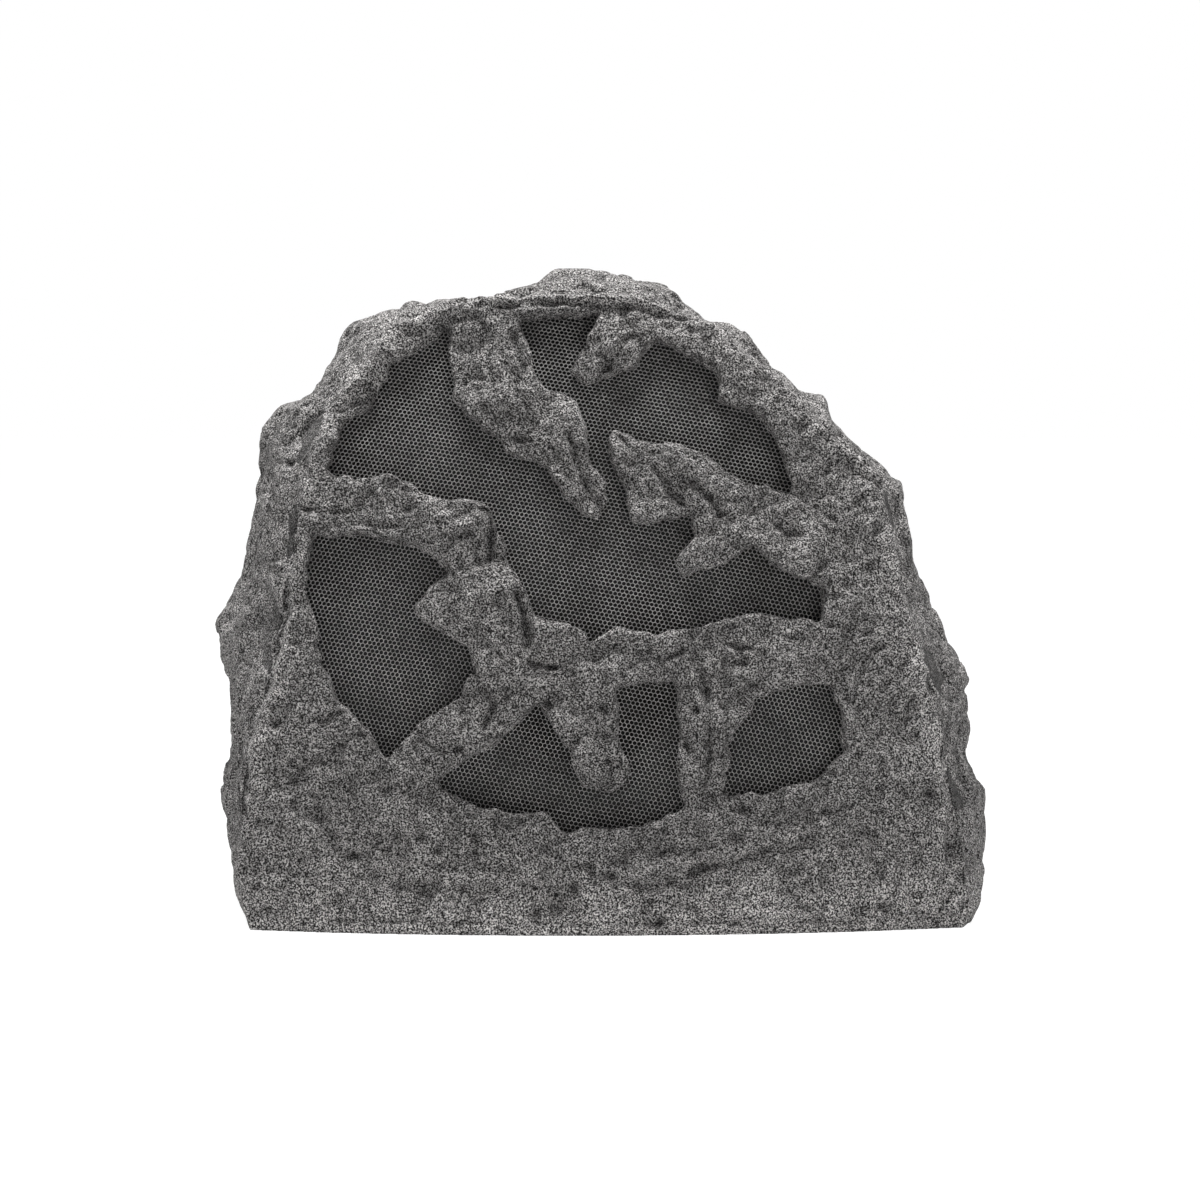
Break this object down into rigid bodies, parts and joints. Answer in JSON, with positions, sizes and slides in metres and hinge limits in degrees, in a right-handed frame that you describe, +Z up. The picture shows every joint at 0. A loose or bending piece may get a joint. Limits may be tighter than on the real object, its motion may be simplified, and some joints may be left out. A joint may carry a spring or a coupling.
{
  "type": "rock shaped garden speaker",
  "caption": "Outdoor loudspeaker in a hollow moulded boulder; ragged windows in its domed face leave root-like ribs over a perforated sheet, with a woofer and a tweeter behind.",
  "frame": {"origin": "centre of the bounding box at the ground, under the middle of the boulder", "axes": "+X across the boulder to the viewer's right, -Y out of the face with the windows, +Z up"},
  "size_m": [0.438, 0.32, 0.355],
  "materials": {
    "rock": "rough speckled granite look, moulded and sprayed",
    "sheet": "perforated steel sprayed with the same granite speckle",
    "foam": "soft closed-cell foam",
    "gasket": "soft matt rubber",
    "black_plastic": "fine matt moulding",
    "frame_paint": "black powder coat",
    "plated_steel": "zinc plate",
    "ferrite": "ground dark ceramic",
    "screw_steel": "plain stainless",
    "cone": "satin formed film",
    "copper": "varnished copper wire",
    "surround": "smooth rubber",
    "cloth": "treated cotton",
    "film": "coated silk",
    "blade": "plain brass",
    "board": "satin laminate",
    "capacitor": "glossy sleeve",
    "cement": "matt white cement",
    "lead": "smooth sleeve",
    "gland": "fine matt moulding",
    "grommet": "soft matt rubber"
  },
  "bodies": {
    "enclosure": {"rock_face": "rock", "rock_shell": "rock", "grille_sheet": "sheet", "baffle_seal": "foam", "woofer_gasket": "gasket", "base_gasket": "gasket", "gland_seal": "gasket", "baffle": "black_plastic", "baffle_spacers": "black_plastic", "base_plate": "black_plastic", "terminal_strip": "black_plastic", "tweeter_strip": "black_plastic", "tweeter_faceplate": "black_plastic", "terminal_block": "black_plastic", "woofer_basket": "frame_paint", "top_plate": "plated_steel", "back_plate": "plated_steel", "tweeter_cup": "plated_steel", "tweeter_pole": "plated_steel", "magnet": "ferrite", "tweeter_magnet": "ferrite", "baffle_screws": "screw_steel", "woofer_screws": "screw_steel", "tweeter_screws": "screw_steel", "base_screws": "screw_steel", "board_screws": "screw_steel", "crossover_inductor": "copper", "woofer_surround": "surround", "spider": "cloth", "tweeter_diaphragm": "film", "terminal_tabs": "blade", "tweeter_tabs": "blade", "crossover_board": "board", "crossover_capacitors": "capacitor", "crossover_resistor": "cement", "woofer_lead": "lead", "tweeter_lead": "lead", "gland_body": "gland", "gland_nut": "gland", "gland_cap": "gland", "gland_grommet": "grommet"},
    "cone_assembly": {"woofer_cone": "cone", "dust_cap": "cone", "voice_coil": "copper"}
  },
  "joints": [
    {"name": "cone_slide", "type": "slide", "parent": "enclosure", "child": "cone_assembly", "axis": [0, -0.9703, 0.2419], "range_m": [-0.004, 0.004], "stiffness_N_per_m": 1500, "deforming": ["woofer_surround", "spider"]}
  ]
}
